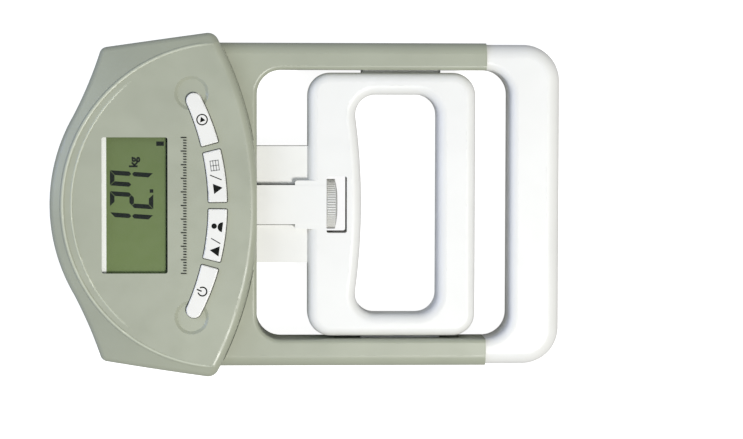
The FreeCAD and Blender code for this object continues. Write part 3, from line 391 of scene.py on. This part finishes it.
class Page:
    """Flat drawing space on the object: u runs along the line of reading, v upwards, in millimetres."""

    def __init__(self, x, y, turn=90.0):
        self.x, self.y = x, y
        self.cos = math.cos(math.radians(turn))
        self.sin = math.sin(math.radians(turn))

    def point(self, u, v):
        u, v = u * MM, v * MM
        return (self.x + u * self.cos - v * self.sin, self.y + u * self.sin + v * self.cos)

    def loop(self, points):
        return [self.point(u, v) for u, v in points]

    def box(self, u0, u1, v0, v1):
        return self.loop([(u0, v0), (u1, v0), (u1, v1), (u0, v1)])

    def stroke(self, u0, v0, u1, v1, width):
        """A straight bar from one point to another."""
        length = math.hypot(u1 - u0, v1 - v0)
        a, b = -(v1 - v0) / length * width / 2, (u1 - u0) / length * width / 2
        return self.loop([(u0 - a, v0 - b), (u1 - a, v1 - b), (u1 + a, v1 + b), (u0 + a, v0 + b)])

    def arc(self, u, v, radius, start, end, steps=24):
        """Points on a circle from one angle to another, in degrees."""
        turns = [math.radians(start + (end - start) * i / steps) for i in range(steps + 1)]
        return [(u + radius * math.cos(t), v + radius * math.sin(t)) for t in turns]

    def disc(self, u, v, radius, start, end):
        """The part of a disc that an arc and the straight line between its ends bound."""
        return self.loop(self.arc(u, v, radius, start, end))

    def bow(self, u, v, radius, start, end, width):
        """A line of the given width that follows an arc."""
        outer = self.arc(u, v, radius + width / 2, start, end)
        inner = self.arc(u, v, radius - width / 2, start, end)
        return self.loop(outer + inner[::-1])


INK = 0.03 * MM             # height of the display's and the keys' ink
SCALE_INK = 0.02 * MM

# ---------------------------------------------------------------- display reading
# Lengths are in millimetres on the display's page, which reads towards +Y.
DIGIT_WIDE = 5.6
DIGIT_HIGH = 15.9
SEGMENT = 1.65              # breadth of a digit's bars
SEGMENT_GAP = 0.12
SLANT = math.tan(math.radians(4.0))
SHOWN = {"1": "bc", "2": "abged", "7": "abcf"}
DIGIT_STARTS = (("1", -9.3), ("2", -1.5), ("7", 6.2))
BASELINE = 6.7              # from the clear sheet's +X side to the foot of the digits
POINT = (4.6, 5.9, 0.0, 1.3)    # from and to along the page, from and to up it
CORNER_MARK = (21.9, 23.5, 0.1, 2.9)
CORNER_DROP = 4.0           # from the digits' foot down to the corner mark's line
SHEET_LAP = 1.4             # the clear sheet runs on this far under the cover's edge
EDGE_SHADOW_WIDE = 0.6
EDGE_SHADOW_INSET = 1.5          # the painted shadow line ends this far short of the sheet's ends
UNIT_SIZE = 4.2
UNIT_WEIGHT = 0.16          # how far the letters' outline is grown
UNIT_PLACE = (-62.2, 13.9)  # x and y where the unit starts


def segment_loop(page, letter):
    """One bar of a seven-bar digit, with mitred ends and a hairline gap to its neighbours."""
    w, h, t, gap = DIGIT_WIDE, DIGIT_HIGH, SEGMENT, SEGMENT_GAP
    half = h / 2
    if letter in "ad":
        v, inner_v = (h, h - t) if letter == "a" else (0.0, t)
        points = [(gap, v), (w - gap, v), (w - t - gap, inner_v), (t + gap, inner_v)]
    elif letter == "g":
        tip = t / 2
        points = [(tip + gap, half), (t + gap, half + tip), (w - t - gap, half + tip),
                  (w - tip - gap, half), (w - t - gap, half - tip), (t + gap, half - tip)]
    else:
        low, high = (gap, half - gap) if letter in "ec" else (half + gap, h - gap)
        u, inner_u = (w, w - t) if letter in "bc" else (0.0, t)
        middle_u = (u + inner_u) / 2
        if letter in "bf":
            points = [(u, high), (inner_u, high - t), (inner_u, low + t / 2), (middle_u, low),
                      (u, low + t / 2)]
        else:
            points = [(u, low), (inner_u, low + t), (inner_u, high - t / 2), (middle_u, high),
                      (u, high - t / 2)]
    return page.loop([(pu + pv * SLANT, pv) for pu, pv in points])


def display_reading():
    """The three digits, the point and the small mark in the corner of the display."""
    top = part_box("lcd_glass")[1].z
    base_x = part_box("lcd_window")[1].x - BASELINE * MM
    loops = []
    for letter, start in DIGIT_STARTS:
        page = Page(base_x, start * MM)
        loops += [segment_loop(page, part) for part in SHOWN[letter]]
    loops.append(Page(base_x, 0.0).box(*POINT))
    loops.append(Page(base_x + CORNER_DROP * MM, 0.0).box(*CORNER_MARK))
    prisms("display_digits", loops, top, top + INK, "housing", "display_ink_and_shadow")


def display_edge_shadow():
    """Painted shadow: a dark line along the display's foot, where the cover's edge shades the display."""
    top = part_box("lcd_glass")[1].z
    low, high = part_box("lcd_window")
    page = Page(high.x - SHEET_LAP * MM, 0.0)
    line = page.box(low.y / MM + EDGE_SHADOW_INSET, high.y / MM - EDGE_SHADOW_INSET, 0.0, EDGE_SHADOW_WIDE)
    # Painted shadow along the display's foot.
    prisms("display_edge_shadow", [line], top, top + INK, "housing", "display_ink_and_shadow")


def display_unit():
    """The unit letters, in the plain built-in typeface, turned to read along the display."""
    curve = bpy.data.curves.new("unit", "FONT")
    curve.body = "kg"
    curve.size = UNIT_SIZE * MM
    curve.extrude = INK / 2
    curve.offset = UNIT_WEIGHT * MM
    holder = bpy.data.objects.new("unit_source", curve)
    bpy.context.scene.collection.objects.link(holder)
    bpy.context.view_layer.update()
    mesh = bpy.data.meshes.new_from_object(holder.evaluated_get(bpy.context.evaluated_depsgraph_get()))
    bpy.data.objects.remove(holder)
    x, y = UNIT_PLACE
    shift = Matrix.Translation((x * MM, y * MM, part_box("lcd_glass")[1].z + INK / 2))
    mesh.transform(shift @ Matrix.Rotation(math.pi / 2, 4, "Z"))
    add_piece("display_unit", mesh, "housing", "display_ink_and_shadow")


display_reading()
display_edge_shadow()
display_unit()

# ---------------------------------------------------------------- printed marks
# Lengths are in millimetres, on pages centred on the keys.
KEYS_CENTRE_X = -116.1      # the four keys are set round (this, 0)
SIGN_LINE = 0.35            # widths of the signs' lines
GRID_LINE = 0.3
RING_LINE = 0.45
POWER_LINE = 0.5
SCALE_INSET = 5.6           # from the clear sheet's +X side to the graduation's foot
SCALE_REACH = 25            # the graduation runs this far each way from the middle
SCALE_LONG = 2.1
SCALE_SHORT = 1.2
SCALE_HALF = 0.17           # half the width of its strokes


def key_page(node):
    """A page centred on a key, and the height of the key's top."""
    low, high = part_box(node)
    x, y = (low.x + high.x) / 2, (low.y + high.y) / 2
    turn = math.atan2(y, x - KEYS_CENTRE_X * MM)
    return Page(x, y, 90.0 + math.degrees(turn)), high.z


def mark_key(name, node, material, draw):
    """Print on a key the shapes that draw makes from the key's page."""
    page, top = key_page(node)
    prisms(name, draw(page), top - INK, top + INK, node, material)


def arrow_down(page):
    """A pointer downwards and a slanted dividing line."""
    pointer = page.loop([(-6.6, 1.2), (-2.8, 1.2), (-4.7, -2.15)])
    return [pointer, page.stroke(-1.8, -2.2, 0.5, 1.85, SIGN_LINE)]


def table_grid(page):
    rows = [page.box(1.75, 5.75, v, v + GRID_LINE) for v in (-2.0, -1.0, 0.0, 1.0)]
    columns = [page.box(u, u + GRID_LINE, -1.9, 1.2) for u in (1.8, 3.6, 5.4)]
    return rows + columns


def arrow_up_and_person(page):
    """A pointer upwards, a slanted dividing line, and a head over shoulders."""
    pointer = page.loop([(-7.5, -2.25), (-3.7, -2.25), (-5.6, 1.25)])
    divider = page.stroke(-2.7, -2.3, -1.2, 1.3, SIGN_LINE)
    return [pointer, divider, page.disc(3.4, 0.8, 1.0, 0, 350), page.disc(3.4, -2.3, 1.8, 0, 180)]


def play_sign(page):
    """A pointer to the right in a ring, which is left open by a hair on both sides."""
    ring = [page.bow(0.0, 0.0, 1.9, start, start + 178, RING_LINE) for start in (1, 181)]
    return ring + [page.loop([(-0.7, -1.05), (-0.7, 1.05), (1.15, 0.0)])]


def power_sign(page):
    """An open ring with a bar through its gap."""
    return [page.bow(0.0, -0.1, 1.6, 125, 415, POWER_LINE), page.box(-0.25, 0.25, 0.2, 2.1)]


def printed_scale():
    """A plain graduation beside the display: one stroke a millimetre, longer every fifth."""
    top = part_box("front_cover")[1].z
    page = Page(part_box("lcd_window")[1].x + SCALE_INSET * MM, 0.0)
    loops = []
    for i in range(-SCALE_REACH, SCALE_REACH + 1):
        tall = SCALE_LONG if i % 5 == 0 else SCALE_SHORT
        loops.append(page.box(i - SCALE_HALF, i + SCALE_HALF, 0.0, tall))
    prisms("printed_scale", loops, top - SCALE_INK, top + SCALE_INK, "housing", "print_ink")


mark_key("mark_down", "key_down", "print_ink", arrow_down)
mark_key("mark_memory", "key_down", "print_grey", table_grid)
mark_key("mark_up", "key_up", "print_ink", arrow_up_and_person)
mark_key("mark_start", "key_start", "print_ink", play_sign)
mark_key("mark_power", "key_on_set", "print_ink", power_sign)
printed_scale()

# ---------------------------------------------------------------- floor, light and camera
FLOOR_SIZE = 6.0
FLOOR_DROP = 0.0002         # keeps the floor clear of the object's rear face
FLOOR_DARK = (0.40, 0.40, 0.40)
FLOOR_PALE = (0.43, 0.43, 0.43)
FLOOR_CLOUD_SCALE = 30
FLOOR_ROUGH = 0.9
FLOOR_GLOW = 0.93
SKY_COLOUR = (0.95, 0.98, 1.0, 1.0)
SKY_STRENGTH = 0.35
# Square lamps that face the object: name, place, side, watts and colour.
LAMPS = (
    ("key", (0.42, -0.38, 1.30), 0.26, 14.6, (1.0, 0.985, 0.955)),
    ("fill", (-1.0, 0.35, 0.85), 0.8, 3.6, (0.74, 0.85, 1.0)),
    ("rim", (-1.3, 0.30, 0.42), 0.5, 3.4, (0.36, 0.46, 1.0)),
)
# The camera's lens and sensor in millimetres, like its place and the point that it looks at.
SENSOR = 36.0
LENS = 131.9
CAMERA_PLACE = (-25.0, 45.2, 1029.1)
CAMERA_TARGET = (24.65, -5.73, 15.0)
CAMERA_UP = (-0.0025, 1, 0)


def floor_paper():
    """Plain pale paper; it glows to the camera only, so that shadows on it stay faint."""
    shader = Shader("floor_paper")
    cloud = shader.remap(shader.noise(FLOOR_CLOUD_SCALE, 3), 0, 1)
    tone = shader.mix_colour(cloud, FLOOR_DARK, FLOOR_PALE)
    seen = shader.node("ShaderNodeLightPath").outputs["Is Camera Ray"]
    glow = shader.math("MULTIPLY", seen, FLOOR_GLOW)
    return shader.finish(Base_Color=tone, Roughness=FLOOR_ROUGH, Emission_Color=(1.0, 1.0, 1.0),
                         Emission_Strength=glow)


def paper_floor():
    bpy.ops.mesh.primitive_plane_add(size=FLOOR_SIZE, location=(0, 0, -FLOOR_DROP))
    floor = bpy.context.object
    floor.name = "floor"
    floor.data.materials.append(floor_paper())


def sky():
    world = bpy.data.worlds.new("studio")
    bpy.context.scene.world = world
    world.use_nodes = True
    background = world.node_tree.nodes["Background"]
    background.inputs["Color"].default_value = SKY_COLOUR
    background.inputs["Strength"].default_value = SKY_STRENGTH


def lamps():
    for name, place, side, watts, colour in LAMPS:
        light = bpy.data.lights.new(name, "AREA")
        light.shape = "SQUARE"
        light.size = side
        light.energy = watts
        light.color = colour
        holder = bpy.data.objects.new(name, light)
        holder.location = place
        holder.rotation_euler = (-Vector(place)).to_track_quat("-Z", "Y").to_euler()
        bpy.context.scene.collection.objects.link(holder)


def photographer():
    """Camera a metre above the object, a little off to the head's side and upwards, looking down."""
    lens = bpy.data.cameras.new("camera")
    lens.sensor_width = SENSOR
    lens.lens = LENS
    camera = bpy.data.objects.new("camera", lens)
    place = Vector(CAMERA_PLACE) * MM
    back = (place - Vector(CAMERA_TARGET) * MM).normalized()
    right = Vector(CAMERA_UP).cross(back).normalized()
    camera.matrix_world = Matrix((right, back.cross(right), back)).transposed().to_4x4()
    camera.location = place
    bpy.context.scene.collection.objects.link(camera)
    bpy.context.scene.camera = camera


paper_floor()
sky()
lamps()
photographer()
bpy.context.scene.view_settings.view_transform = "Standard"
